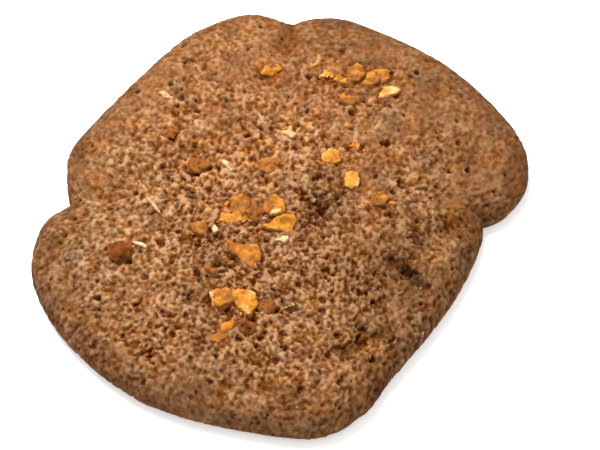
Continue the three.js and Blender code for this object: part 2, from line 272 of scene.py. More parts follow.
# How chips and lumps are cut, worn and set in the dough.
UPRIGHT_SHARE = 0.65  # a bit stands upright by this share, and else square to the crust
CHIP_SUNK = 1.1 * MM  # how far a chip reaches down into the dough
CHIP_SPREAD = 1.18  # the outline is drawn at the crust, and the foot of the chip is wider
CHIP_TAPER = 0.82  # width of a chip's top as a share of its foot's
CHIP_SLOPES = (0.2, 0.8)  # how far a cut falls over the chip, as a share of its rise
CHIP_CUTS = (0.75, 1.0)  # and how high it crosses the middle
CHIP_LEAN = 6  # degrees
CHIP_VOXEL = 0.2 * MM
CHIP_WEAR = 2  # passes of smoothing that round a chip's edges
CHIP_BUMPS = ((1.5 * MM, 0.45 * MM), (0.6 * MM, 0.16 * MM))  # size and height
CHIP_FILM = 0.2 * MM  # oily dough clings this far up a chip
CHIP_FOOT = -0.4  # share of the rise, below the crust, where a chip's painted foot shade is darkest
PAINTED_FOOT_SHADE = 0.35  # how much darker in tint a chip is painted where it meets the crust, as painted shade
LUMP_FLATNESS = 0.48  # height of a lump as a share of its width
LUMP_BUMPS = ((2.2 * MM, 0.8 * MM), (0.8 * MM, 0.2 * MM))
LUMP_FILM = 0.8 * MM  # dough clings this far up a lump
LUMP_SUNK_SHARE = 0.59
LUMP_COARSENESS = 0.6
LUMP_SPECKLE = 0.4  # how much paler a lump is painted on its raised grains, as painted light
FILM_SIZE = 0.8 * MM  # how ragged the film's edge is
SMOOTH_ANGLE = math.radians(40)

# Crumb grains lying in the crust: how many, and length, width and thickness.
GRAIN_COUNT = 150
GRAIN_SIZE = np.array((1.05, 0.8, 0.5)) * MM
GRAIN_TINTS = (0.1, 0.5)
FLECK_COUNT = 24  # of these grains, so many are larger, pale flecks of bran
FLECK_SIZE = np.array((1.3, 1.0, 0.6)) * MM
FLECK_TINT = 0.5
FINEST_WITH_GRAINS = 0.3  # grains lie only where the crumb is coarser than this
GRAIN_CROWDING = 1.5  # the higher, the more of them lie where it is coarsest
GRAINS_ON_LUMPS = 0.6  # how readily they lie on lumps
LUMP_TOP = 0.3  # grains lie on a lump where its normal rises at least this much
GRAIN_LEAN = 0.3  # how far they lean over
GRAIN_SPREAD = 0.25  # how unlike in size they are
GRAIN_UNEVENNESS = (-0.45, 0.35)

# Sizes of the dough's patterns in its material.
SPECK_SIZE = 0.72 * MM
SPECK_SWIRL = 0.9 * MM
SPECK_BEND = 0.25 * MM
SPECK_HEIGHT = 0.25 * MM
HUE_PATCH = 4 * MM
BRAN_SIZE = 0.75 * MM
BRAN_SHIFT = (0.03, 0.05, 0)  # sets the bran's pattern apart from the specks
SHADE_PATCH = 5 * MM
BROWNED_RIM_MM = 6.0
BASE_PIT_SIZE = 1.6 * MM
BASE_PIT_DEPTH = 0.6 * MM
BASE_TOP = 0.5 * MM  # the underside's finish fades in from here
BASE_FULL = 0.1 * MM  # and is full from here down

# The view: from in front, well above, through a long lens.
VIEW_HEIGHT_ANGLE = math.radians(60)
VIEW_DISTANCE = 0.5
VIEW_WIDTH = 0.12  # how much of the biscuit's plane the picture is wide
VIEW_AIM = Vector((3.5, -2.6, 4.0)) * MM
VIEW_NEAREST = 0.01
SENSOR_MM = 36

# The light: one broad lamp behind, a little to the left, and an even white room.
LAMP_PLACE = Vector((-0.1, 0.18, 0.36))
LAMP_SIZE = 0.2
LAMP_POWER = 3.6
ROOM_STRENGTH = 0.95
FLOOR_SIZE = 4
FLOOR_GAP = 0.05 * MM  # keeps the floor off the flat underside

# A colour mix: its settings to multiply two colours, and its sockets.
TINTING = {"data_type": "RGBA", "blend_type": "MULTIPLY", "Factor": 1.0}
FIRST = 6
SECOND = 7
MIXED = 2


def linear(colour):
    """A hex sRGB colour as linear red, green, blue and alpha."""
    shares = [int(colour[start:start + 2], 16) / 255 for start in (1, 3, 5)]
    curved = [s / 12.92 if s <= 0.04045 else ((s + 0.055) / 1.055) ** 2.4 for s in shares]
    return (*curved, 1.0)


def add_node(tree, kind, settings=(), links=()):
    """Adds a shader node with its settings, and links its inputs to sockets or nodes' first outputs."""
    made = tree.nodes.new("ShaderNode" + kind)
    for name, value in dict(settings).items():
        if name == "stops":
            stops = made.color_ramp.elements
            while len(stops) < len(value):
                stops.new(1.0)
            for stop, (place, colour) in zip(stops, value):
                stop.position = place
                stop.color = linear(colour)
        elif isinstance(name, int) or name in made.inputs:
            made.inputs[name].default_value = value
        else:
            setattr(made, name, value)
    for name, source in dict(links).items():
        output = source.outputs[0] if isinstance(source, bpy.types.Node) else source
        tree.links.new(output, made.inputs[name])
    return made


def new_material(name):
    """An empty node material, and its tree."""
    material = bpy.data.materials.new(name)
    material.use_nodes = True
    material.node_tree.nodes.clear()
    return material, material.node_tree


def spline_points(corners, count):
    """Points evenly spaced along a smooth curve through the corners, ends included."""
    ends = np.array([corners[0], *corners, corners[-1]], float)
    step = np.linspace(0, 1, SPLINE_STEPS, endpoint=False)[:, None]
    runs = []
    for before, start, end, after in zip(ends, ends[1:], ends[2:], ends[3:]):
        leave = (end - before) / 2
        arrive = (after - start) / 2
        square = 3 * (end - start) - 2 * leave - arrive
        cube = 2 * (start - end) + leave + arrive
        runs.append(start + step * (leave + step * (square + step * cube)))
    line = np.vstack([*runs, ends[-1:]])
    travelled = np.append(0, np.cumsum(np.linalg.norm(np.diff(line, axis=0), axis=1)))
    even = np.linspace(0, travelled[-1], count + 1)
    return np.column_stack([np.interp(even, travelled, line[:, axis]) for axis in (0, 1)])


def biscuit_outline():
    """The outline as one closed line of points, evenly spaced on each arc, and its middle."""
    arcs = [spline_points(arc, SIDE)[:-1] for arc in OUTLINE_ARCS_MM]
    line = np.vstack([*arcs, arcs[0][:1]]) * MM
    return line, (line.max(0) + line.min(0)) / 2


def point_tree(points):
    """A search tree of points seen from above."""
    tree = kdtree.KDTree(len(points))
    for index, (x, y) in enumerate(points):
        tree.insert((x, y, 0), index)
    tree.balance()
    return tree


OUTLINE, MIDDLE = biscuit_outline()
OUTLINE_TREE = point_tree(OUTLINE)


def distance_to_edge(plan):
    """How far each point lies in from the outline, seen from above."""
    return np.array([OUTLINE_TREE.find((x, y, 0))[2] for x, y in plan])


def plan_noise(plan, size, level=0):
    """Smooth noise of a size at each point seen from above, another pattern at each level."""
    return np.array([noise.noise(Vector((x, y, level)) / size) for x, y in plan])


def plan_swirl(plan):
    """Which way and how strongly swirls bend the crumb at each point seen from above."""
    return np.array([noise.noise_vector(Vector((x, y, 0)) / BEND_SIZE)[:2] for x, y in plan])


def furrow_depth(plan):
    """How far folds, grooves and sunken patches lower each point, less what swellings raise it."""
    depth = np.zeros(len(plan))
    for start, end, half_width, deepest in FURROWS_MM:
        start = np.array(start) * MM
        along = np.array(end) * MM - start
        share = np.clip((plan - start) @ along / max(along @ along, MM ** 2), 0, 1)
        away = np.linalg.norm(plan - start - share[:, None] * along, axis=1)
        depth += deepest * MM * np.exp(-(away / (half_width * MM)) ** 2)
    return depth


def crust_height(plan, inward):
    """Height of the crust before its grain: rounded rim, low dome, crags and furrows."""
    rim_share = np.minimum(inward / RIM_ROUNDING, 1)
    rim = (SHOULDER_THICKNESS - RIM_HEIGHT) * np.sqrt(1 - (1 - rim_share) ** 2)
    past_rim = np.maximum(inward - RIM_ROUNDING, 0)
    dome = (MIDDLE_THICKNESS - SHOULDER_THICKNESS) * (1 - np.exp(-past_rim / DOME_REACH))
    relief = -furrow_depth(plan)
    for wavelength, height in CRAGS:
        relief += height * plan_noise(plan, wavelength, CRAG_LEVEL)
    return RIM_HEIGHT + rim + dome + rim_share * relief


def grain_relief(points, coarseness):
    """How far grains and pits move each point of the crust, the painted light and shade of that relief, and
    grain or gap.
    """
    relief = np.empty(len(points))
    paleness = np.empty(len(points))
    grains = np.empty(len(points))
    for index, (point, coarse) in enumerate(zip(points, coarseness)):
        place = Vector(point)
        bent = place + noise.noise_vector(place / BEND_SIZE) * BEND_REACH
        height = SWELL_HEIGHT * noise.noise(bent / SWELL_SIZE)
        crumb = noise.noise(bent / CRUMB_SIZE + CRUMB_SHIFT)
        share = min(max((-crumb - PIT_START) / PIT_FULL, 0), 1)
        pit = PIT_DEPTH * share * share * (3 - 2 * share)
        # Painted light on the swell's rises and painted shade in the pits.
        paleness[index] = coarse * (height - PIT_SHADE * pit) / MM
        relief[index] = coarse * (height + CRUMB_HEIGHT * math.tanh(CRUMB_CRISPNESS * crumb) - pit)
        grains[index] = crumb
    return relief, paleness, grains


def coarseness(plan):
    """How coarse the crumb is: coarsest in one place, with finer and coarser patches."""
    away = np.linalg.norm(plan - np.array(COARSEST), axis=1) / COARSE_REACH
    patches = PATCHINESS * plan_noise(plan, PATCH_SIZE)
    return FAR_COARSENESS + ADDED_COARSENESS * np.exp(-away ** 2) + patches


def pore_relief(plan, inward):
    """How far scattered pores lower each point of the crust, and how far inside a pore it is."""
    draw = np.random.default_rng(SEED)
    centres = draw.uniform(OUTLINE.min(0), OUTLINE.max(0), (PORE_COUNT, 2))
    smallest, largest = PORE_RADII
    radii = smallest + (largest - smallest) * draw.uniform(size=PORE_COUNT) ** PORE_SMALLNESS
    kept = draw.uniform(size=PORE_COUNT) < coarseness(centres) ** PORE_THINNING
    centres, radii = centres[kept], radii[kept]
    tree = point_tree(centres)
    found = [tree.find((x, y, 0)) for x, y in plan + plan_swirl(plan) * PORE_RAGGEDNESS]
    radius = radii[[index for _, index, _ in found]]
    inside = 1 - np.array([distance for _, _, distance in found]) / radius
    inside = np.where(inward > PORE_EDGE, inside, -1)
    return -PORE_STEEPNESS * radius * np.sqrt(np.maximum(inside, 0)), inside


def tone_of_patches(plan):
    """How much lighter than the mean the dough is, its own tone with painted shade and painted cool light,
    as a factor for its red, green and blue.
    """
    tone = np.ones((len(plan), 3))
    for place, reach, change in TONE_PATCHES_MM:
        away = np.linalg.norm(plan / MM - place, axis=1) / reach
        tone += change * np.exp(-away ** 2)[:, None]
    # Painted cool light at the rims, from the white floor; over swellings, the dough's own tone.
    for place, reach, coolness in COOL_PATCHES_MM:
        away = np.linalg.norm(plan / MM - place, axis=1) / reach
        tone *= 1 + coolness * np.exp(-away ** 2)[:, None] * COOL_SHARES
    return tone


def depth_in_outline(points, corners):
    """How far each point lies inside a closed outline, with a minus outside it."""
    nearest = np.full(len(points), np.inf)
    inside = np.zeros(len(points), bool)
    for start, end in zip(corners, np.roll(corners, -1, axis=0)):
        along = end - start
        share = np.clip((points - start) @ along / (along @ along), 0, 1)
        nearest = np.minimum(nearest, np.linalg.norm(points - start - share[:, None] * along, axis=1))
        spans = (start[1] > points[:, 1]) != (end[1] > points[:, 1])
        crossing = start[0] + along[0] * (points[:, 1] - start[1]) / (along[1] or 1)
        inside ^= spans & (points[:, 0] < crossing)
    return np.where(inside, nearest, -nearest)


def depth_in_chips(plan):
    """How far each point lies inside the outline of a golden chip, with a minus outside them all."""
    depth = np.full(len(plan), -CHIP_SURROUNDINGS)
    for place, corners, _, _ in GOLDEN_CHIPS:
        points = plan - np.array(place) * MM
        near = np.abs(points).max(1) < CHIP_SURROUNDINGS
        depth[near] = np.maximum(depth[near], depth_in_outline(points[near], np.array(corners) * MM))
    return depth


def depth_in_lumps(plan):
    """How far each point lies inside the round of a brown lump, with a minus outside them all."""
    depths = [(length + width) / 4 * MM - np.linalg.norm(plan - np.array(place) * MM, axis=1)
              for place, length, width, _, _ in SKIN_LUMPS]
    return np.max(depths, axis=0)


def depth_in_bits(plan):
    """How far each point lies inside a golden chip or a brown lump, with a minus outside them."""
    return np.maximum(depth_in_chips(plan), depth_in_lumps(plan))


def pressed_depth(depth):
    """How far a bit presses the dough down, by how far inside its edge a point lies."""
    return PRESSED_DEPTH * np.clip((depth - PRESSED_INSET) / PRESSED_SLOPE, 0, 1)


def hole_and_gap_relief(plan):
    """How far the placed holes lower the crust, and the dough rises and falls around the bits."""
    bent = plan + plan_swirl(plan) * BEND_REACH
    ragged = HOLE_RAGGEDNESS * plan_noise(plan, BEND_SIZE, HOLE_LEVEL)
    relief = np.zeros(len(plan))
    for x, y, radius in HOLES_MM:
        away = np.linalg.norm(bent / MM - (x, y), axis=1) / radius
        hollow = np.clip(HOLE_FLATNESS - away ** 2 + ragged, 0, 1)
        relief -= HOLE_DEPTH * hollow * (away < HOLE_REACH)
    uneven = plan_noise(plan, GAP_SIZE) - GAP_BIAS
    depth = depth_in_bits(plan)
    near = np.exp(-(depth / GAP_WIDTH) ** 2)
    front = np.exp(-(depth_in_chips(plan + (0, FRONT_GAP_SHIFT)) / GAP_WIDTH) ** 2)
    return relief + GAP_HEIGHT * uneven * near - FRONT_GAP_DEPTH * front - pressed_depth(depth)


def select_only(piece):
    """Makes one object the only selected and the active one."""
    bpy.ops.object.select_all(action="DESELECT")
    piece.select_set(True)
    bpy.context.view_layer.objects.active = piece


def vertex_places(mesh):
    """The places of a mesh's vertices, a row for each."""
    places = np.empty(len(mesh.vertices) * 3)
    mesh.vertices.foreach_get("co", places)
    return places.reshape(-1, 3)


def vertex_normals(mesh):
    """The normals of a mesh's vertices, a row for each."""
    normals = np.empty(len(mesh.vertices) * 3)
    mesh.vertex_normals.foreach_get("vector", normals)
    return normals.reshape(-1, 3)


def move_vertices(mesh, places):
    """Puts a mesh's vertices in new places."""
    mesh.vertices.foreach_set("co", np.ascontiguousarray(places, float).ravel())
    mesh.update()


def write_attribute(mesh, name, values):
    """Keeps a number, or three, for each vertex for the materials to read."""
    values = np.ascontiguousarray(values, np.float32)
    kind, field = ("FLOAT_VECTOR", "vector") if values.ndim == 2 else ("FLOAT", "value")
    mesh.attributes.new(name, kind, "POINT").data.foreach_set(field, values.ravel())


def lay_out_for_bake(mesh, grid, step):
    """A flat layout of the dough: crust as a square, foot as a strip, underside in a corner."""
    corner = np.empty(len(mesh.loops), int)
    mesh.loops.foreach_get("vertex_index", corner)
    starts = np.empty(len(mesh.polygons), int)
    mesh.polygons.foreach_get("loop_start", starts)
    corners_each = np.diff(np.append(starts, len(corner)))
    lowest = np.repeat(np.maximum.reduceat(step[corner], starts), corners_each)
    highest = np.repeat(np.minimum.reduceat(step[corner], starts), corners_each)

    places = vertex_places(mesh)
    on_grid = np.zeros((len(places), 2))
    on_grid[:len(grid)] = grid / 2 + 0.5
    crust = CRUST_CORNER + CRUST_WIDTH * on_grid[corner]
    nearest = np.array([OUTLINE_TREE.find((x, y, 0))[1] for x, y in places[:, :2]])
    along = nearest[corner] % AROUND / AROUND
    farthest = np.repeat(np.maximum.reduceat(along, starts), corners_each)
    along = np.where((farthest > LAST_QUARTER) & (along < FIRST_QUARTER), along + 1, along)
    foot = np.column_stack([STRIP_START + STRIP_LENGTH * along, STRIP_TOP - STRIP_WIDTH * step[corner]])
    underside = UNDERSIDE_MIDDLE + UNDERSIDE_REACH * places[corner, :2] / np.abs(places[:, :2]).max()
    layout = np.where((highest == 1)[:, None], underside, foot)
    layout = np.where((lowest == 0)[:, None], crust, layout)
    mesh.uv_layers[0].name = "OFBake"
    mesh.uv_layers[0].uv.foreach_set("vector", np.ascontiguousarray(layout, np.float32).ravel())


def spread_over_outline(mesh):
    """Spreads a square grid over the outline at the crust's height, and gives where it was."""
    grid = vertex_places(mesh)[:, :2]
    ring = np.abs(grid).max(1)
    a, b = (grid / np.maximum(ring, TINY)[:, None]).T
    right = (a > NEARLY_ONE) & (b < NEARLY_ONE)
    behind = (b > NEARLY_ONE) & (a > -NEARLY_ONE)
    left = (a < -NEARLY_ONE) & (b > -NEARLY_ONE)
    side = np.select([right, behind, left], [0, 1, 2], 3)
    along = side + np.choose(side, [b, -a, -b, a]) / 2 + 0.5
    marks = np.arange(len(OUTLINE)) / SIDE
    edge = np.column_stack([np.interp(along, marks, OUTLINE[:, axis]) for axis in (0, 1)])
    plan = edge * (1 - (1 - ring) ** RING_CROWDING)[:, None]
    move_vertices(mesh, np.column_stack([plan, crust_height(plan, distance_to_edge(plan))]))
    return grid


def close_below(mesh):
    """Draws the edge down in rings to a flat underside, and gives how far down each vertex is."""
    bpy.ops.object.mode_set(mode="EDIT")
    bpy.ops.mesh.select_mode(type="EDGE")
    bpy.ops.mesh.select_all(action="DESELECT")
    bpy.ops.mesh.select_non_manifold()
    for _ in range(FOOT_RINGS):
        bpy.ops.mesh.extrude_edges_move(TRANSFORM_OT_translate={"value": (0, 0, -RIM_HEIGHT)})
    bpy.ops.mesh.edge_face_add()
    bpy.ops.mesh.inset(thickness=FOOT_INSET)
    bpy.ops.object.mode_set(mode="OBJECT")
    rings_down = np.round((RIM_HEIGHT - vertex_places(mesh)[:, 2]) / RIM_HEIGHT)
    return np.clip(rings_down, 0, FOOT_RINGS) / FOOT_RINGS


def round_foot(mesh, step):
    """Draws the rings in to a rounded foot on the ground."""
    places = vertex_places(mesh)
    is_foot = step > 0
    turn = step[is_foot] * math.pi / 2
    reach = np.linalg.norm(places[is_foot, :2], axis=1)
    places[is_foot, :2] *= (1 - FOOT_INSET * (1 - np.cos(turn)) / reach)[:, None]
    places[is_foot, 2] = RIM_HEIGHT * (1 - np.sin(turn))
    move_vertices(mesh, places)
    return places


def bake_crumb(mesh, places):
    """Gives the dough its grain, pits, pores, holes and gaps, and what its material reads."""
    plan = places[:, :2].copy()
    inward = np.where(places[:, 2] > JUST_OVER_RIM, distance_to_edge(plan), 0)
    coarse = coarseness(plan) * np.clip(places[:, 2] / RELIEF_FADE, 0, 1)
    coarse *= RIM_COARSENESS + (1 - RIM_COARSENESS) * np.minimum(inward / FINE_RIM, 1)
    relief, paleness, grains = grain_relief(places, coarse)
    pits, inside_pore = pore_relief(plan, inward)
    holes = np.where(inward > 0, hole_and_gap_relief(plan), 0)
    sunken = np.where(inward > 0, furrow_depth(plan), 0)
    amber = np.exp(-(depth_in_chips(plan) / AMBER_WIDTH) ** 2)

    places += vertex_normals(mesh) * (relief + pits + holes)[:, None]
    places[:, 2] = np.maximum(places[:, 2], 0)
    places[:, :2] -= MIDDLE
    move_vertices(mesh, places)
    # Painted shade in holes, gaps, pressed hollows and furrows, and painted light on collars of dough.
    write_attribute(mesh, "paleness", paleness + (holes - FURROW_SHADE * sunken) / MM)
    write_attribute(mesh, "grain", grains)
    write_attribute(mesh, "pore", inside_pore)
    write_attribute(mesh, "coarse", coarse)
    write_attribute(mesh, "amber", np.where(inward > 0, amber, 0))
    write_attribute(mesh, "inward", inward / MM)
    write_attribute(mesh, "tone", tone_of_patches(plan))


def make_dough():
    """The dough: a grid spread over the outline, with its rim drawn down to a flat underside."""
    bpy.ops.object.select_all(action="DESELECT")
    bpy.ops.mesh.primitive_grid_add(x_subdivisions=SIDE, y_subdivisions=SIDE, size=2)
    dough = bpy.context.object
    dough.name = dough.data.name = "biscuit_dough"
    grid = spread_over_outline(dough.data)
    step = close_below(dough.data)
    lay_out_for_bake(dough.data, grid, step)
    bake_crumb(dough.data, round_foot(dough.data, step))
    select_only(dough)
    bpy.ops.object.shade_smooth()
    return dough


def surface_over(tree, x, y):
    """The point of the crust over a place in millimetres on the outline, and its normal."""
    above = Vector((x * MM - MIDDLE[0], y * MM - MIDDLE[1], RAY_START))
    point, normal, _, _ = tree.ray_cast(above, DOWN)
    return point, normal


def height_over_crust(tree, places):
    """How far each point stands above the crust, or lies below it."""
    return np.array([z - tree.ray_cast(Vector((x, y, RAY_START)), DOWN)[0].z for x, y, z in places])


def set_on_crust(part, tree, place, turn, tilt, lift, tint, film):
    """Turns a bit, leans it with the crust under it and gives it its tint and its film of dough."""
    point, normal = surface_over(tree, *place)
    lean = UP.rotation_difference(normal.lerp(UP, UPRIGHT_SHARE)).to_matrix()
    tilted = lean @ Matrix.Rotation(math.radians(tilt), 3, "X")
    turned = tilted @ Matrix.Rotation(math.radians(turn), 3, "Z")
    places = vertex_places(part.data) @ np.array(turned).T + np.array(point)
    places[:, 2] += lift
    move_vertices(part.data, places)
    write_attribute(part.data, "tint", np.broadcast_to(tint, len(places)))
    ragged = [noise.noise(Vector(vertex) / FILM_SIZE) for vertex in places]
    write_attribute(part.data, "film", 1 - height_over_crust(tree, places) / film + ragged)


def roughen(part, size, depth, offset):
    """Moves each vertex along its normal by noise of a size and depth."""
    places = vertex_places(part.data)
    shift = Vector((*offset, 0))
    rise = [depth * noise.noise(Vector(place) / size + shift) for place in places]
    move_vertices(part.data, places + vertex_normals(part.data) * np.array(rise)[:, None])


def join_bits(parts, name):
    """Joins bits of one kind into one smooth-shaded piece."""
    bpy.ops.object.select_all(action="DESELECT")
    for part in parts:
        part.select_set(True)
    bpy.context.view_layer.objects.active = parts[0]
    bpy.ops.object.join()
    piece = bpy.context.object
    piece.name = piece.data.name = name
    bpy.ops.object.shade_smooth_by_angle(angle=SMOOTH_ANGLE)
    return piece


def splinter_corners(draw, reach):
    """The corners of an uneven splinter that reaches about so far from its middle."""
    apart = np.linspace(0, 1, SPLINTER_CORNERS)
    angles = np.sort(draw.uniform(0, 2 * math.pi, SPLINTER_CORNERS)) + apart
    uneven = draw.uniform(*SPLINTER_UNEVENNESS, (SPLINTER_CORNERS, 1))
    return np.column_stack([np.cos(angles), np.sin(angles)]) * reach * uneven


def splinters(draw, chips):
    """Small splinters strewn around the chips."""
    small = []
    for pick in draw.integers(0, len(chips), SPLINTER_COUNT):
        at = np.array(chips[pick][0]) + draw.normal(0, SPLINTER_SPREAD_MM, 2)
        corners = splinter_corners(draw, draw.uniform(*SPLINTER_REACHES_MM))
        small.append((at, corners, draw.uniform(*SPLINTER_RISES_MM), draw.uniform(*SPLINTER_TINTS)))
    return small


def cut_chip(draw, corners, rise):
    """A chopped chip: an outline drawn up, tapered, cut on top by two planes and worn."""
    bpy.ops.object.select_all(action="DESELECT")
    bpy.ops.mesh.primitive_circle_add(vertices=len(corners), fill_type="NGON")
    part = bpy.context.object
    outline = np.array(corners) * CHIP_SPREAD * MM
    reach = np.linalg.norm(outline, axis=1).mean()
    move_vertices(part.data, np.column_stack([outline, np.full(len(corners), -CHIP_SUNK)]))
    bpy.ops.object.mode_set(mode="EDIT")
    bpy.ops.mesh.select_all(action="SELECT")
    bpy.ops.mesh.extrude_region_move(TRANSFORM_OT_translate={"value": (0, 0, CHIP_SUNK + rise)})
    bpy.ops.transform.resize(value=(CHIP_TAPER, CHIP_TAPER, 1), center_override=(0, 0, 0))
    for heading in np.radians(draw.uniform(0, 360, 2)):
        tilt = math.atan(draw.uniform(*CHIP_SLOPES) * rise / reach)
        slant = math.sin(tilt)
        across = (math.cos(heading) * slant, math.sin(heading) * slant, math.cos(tilt))
        middle = (0, 0, rise * draw.uniform(*CHIP_CUTS))
        bpy.ops.mesh.select_all(action="SELECT")
        bpy.ops.mesh.bisect(plane_co=middle, plane_no=across, use_fill=True, clear_outer=True)
    bpy.ops.mesh.select_all(action="SELECT")
    bpy.ops.mesh.normals_make_consistent(inside=False)
    bpy.ops.object.mode_set(mode="OBJECT")
    even = part.modifiers.new("even_mesh", "REMESH")
    even.mode = "VOXEL"
    even.voxel_size = CHIP_VOXEL
    wear = part.modifiers.new("worn_edges", "SMOOTH")
    wear.iterations = CHIP_WEAR
    select_only(part)
    for modifier in ("even_mesh", "worn_edges"):
        bpy.ops.object.modifier_apply(modifier=modifier)
    return part


def make_chips(name, chips, tree):
    """Chopped chips, roughened and set in the dough, as one piece."""
    draw = np.random.default_rng(SEED)
    parts = []
    for place, corners, rise, tint in chips:
        rise *= MM
        part = cut_chip(draw, corners, rise)
        for size, depth in CHIP_BUMPS:
            roughen(part, size, depth, place)
        # Painted shade: a chip's tint is darker towards where it meets the crust.
        height_share = np.clip(vertex_places(part.data)[:, 2] / rise, CHIP_FOOT, 1)
        tints = tint - PAINTED_FOOT_SHADE * (1 - height_share)
        lean = draw.uniform(-CHIP_LEAN, CHIP_LEAN)
        lift = pressed_depth(depth_in_bits(np.array([place]) * MM))
        set_on_crust(part, tree, place, 0, lean, lift, tints, CHIP_FILM)
        parts.append(part)
    return join_bits(parts, name)


def make_lumps(name, lumps, tree):
    """Lumps of nut in their skin: uneven balls sunk in the dough, as one piece."""
    parts = []
    for place, length, width, turn, tint in lumps:
        bpy.ops.object.select_all(action="DESELECT")
        bpy.ops.mesh.primitive_ico_sphere_add(subdivisions=4, radius=0.5)
        part = bpy.context.object
        height = LUMP_FLATNESS * width
        move_vertices(part.data, vertex_places(part.data) * np.array((length, width, height)) * MM)
        for size, depth in LUMP_BUMPS:
            roughen(part, size, depth, place)
        lift = height * MM * (0.5 - LUMP_SUNK_SHARE) + pressed_depth(depth_in_bits(np.array([place]) * MM))
        set_on_crust(part, tree, place, turn, 0, lift, tint, LUMP_FILM)
        places = vertex_places(part.data)
        relief, paleness, grains = grain_relief(places, np.full(len(places), LUMP_COARSENESS))
        move_vertices(part.data, places + vertex_normals(part.data) * relief[:, None])
        # Painted light and shade on the lump: paler on its grains and rises, darker in its pits.
        write_attribute(part.data, "paleness", paleness + LUMP_SPECKLE * grains)
        parts.append(part)
    return join_bits(parts, name)


def strew(draw, dough, lumps):
    """Where the crumb grains lie on dough and lumps, and which way is up there."""
    places = vertex_places(dough.data)
    coarse = np.empty(len(places), np.float32)
    dough.data.attributes["coarse"].data.foreach_get("value", coarse)
    on_crust = places[:, 2] > RIM_HEIGHT
    weight = np.clip(coarse - FINEST_WITH_GRAINS, 0, 1) ** GRAIN_CROWDING * on_crust
    on_lumps = vertex_normals(lumps.data)
    weight = np.append(weight, GRAINS_ON_LUMPS * (on_lumps[:, 2] > LUMP_TOP))
    places = np.vstack([places, vertex_places(lumps.data)])
    normals = np.vstack([vertex_normals(dough.data), on_lumps])
    chosen = draw.choice(len(places), GRAIN_COUNT, replace=False, p=weight / weight.sum())
    return places[chosen], normals[chosen]


def make_crumbs(dough, lumps):
    """Crumb grains that lie in the crust, scattered over it as one joined mesh."""
    bpy.ops.object.select_all(action="DESELECT")
    bpy.ops.mesh.primitive_ico_sphere_add(subdivisions=1, radius=0.5)
    model = bpy.context.object
    corners = vertex_places(model.data)
    faces = np.array([list(face.vertices) for face in model.data.polygons])
    bpy.data.objects.remove(model)

    draw = np.random.default_rng(SEED)
    places, normals = strew(draw, dough, lumps)
    is_fleck = np.arange(GRAIN_COUNT) < FLECK_COUNT
    tints = np.where(is_fleck, FLECK_TINT, draw.uniform(*GRAIN_TINTS, GRAIN_COUNT))
    up = normals + GRAIN_LEAN * draw.normal(size=(GRAIN_COUNT, 3))
    up /= np.linalg.norm(up, axis=1)[:, None]
    along = np.cross(up, draw.normal(size=(GRAIN_COUNT, 3)))
    along /= np.linalg.norm(along, axis=1)[:, None]
    axes = np.stack([along, np.cross(up, along), up], axis=1)
    sizes = np.where(is_fleck[:, None], FLECK_SIZE, GRAIN_SIZE)
    sizes = sizes * draw.lognormal(0, GRAIN_SPREAD, (GRAIN_COUNT, 3))
    uneven = 1 + draw.uniform(*GRAIN_UNEVENNESS, (GRAIN_COUNT, len(corners), 1))
    grains = (corners * uneven * sizes[:, None]) @ axes + places[:, None]
    starts = np.arange(GRAIN_COUNT)[:, None, None] * len(corners)
    mesh = bpy.data.meshes.new("crumb_grains")
    mesh.from_pydata(grains.reshape(-1, 3), [], (faces + starts).reshape(-1, 3))
    write_attribute(mesh, "tint", np.repeat(tints, len(corners)))
    piece = bpy.data.objects.new("crumb_grains", mesh)
    bpy.context.scene.collection.objects.link(piece)
    select_only(piece)
    bpy.ops.object.shade_smooth()
    return piece


def crumb_specks(tree, place):
    """Fine swirled specks, from 0 to 1."""
    swirl = add_node(tree, "TexNoise", {"Scale": 1 / SPECK_SWIRL, "Detail": 0.0}, {"Vector": place})
    bent = add_node(tree, "VectorMath", {"operation": "MULTIPLY_ADD", 1: (SPECK_BEND,) * 3},
                    {0: swirl.outputs["Color"], 2: place})
    return add_node(tree, "TexNoise", {"Scale": 1 / SPECK_SIZE, "Detail": 0.0}, {"Vector": bent})


def crumb_colour(tree, coarse, speck):
    """Dark brown in gaps and pits and tan on grains, which is painted shade and painted light: by the mesh's
    own relief, and by specks that also raise the bump.
    """
    paleness = add_node(tree, "Attribute", {"attribute_name": "paleness"})
    grain = add_node(tree, "Attribute", {"attribute_name": "grain"})
    # The specks are lighter where they also raise the bump: painted light on their rises, painted shade
    # between.
    swing = add_node(tree, "MapRange", {"To Min": -0.85, "To Max": 0.85}, {"Value": speck})
    mixed = add_node(tree, "Math", {"operation": "MULTIPLY_ADD"},
                     {0: swing, 1: coarse, 2: grain.outputs["Fac"]})
    fine = add_node(tree, "MapRange",
                    {"From Min": -0.65, "From Max": 0.65, "To Min": -0.42, "To Max": 0.48},
                    {"Value": mixed})
    level = add_node(tree, "Math", {"operation": "MULTIPLY_ADD"},
                     {0: fine, 1: coarse, 2: paleness.outputs["Fac"]})
    share = add_node(tree, "MapRange", {"From Min": -0.67, "From Max": 0.34}, {"Value": level})
    return add_node(tree, "ValToRGB", {"stops": (
        (0.0, "#4e1f03"), (0.3, "#6c3d13"), (0.58, "#845832"), (0.78, "#9c714f"), (1.0, "#be9671"),
    )}, {"Fac": share})


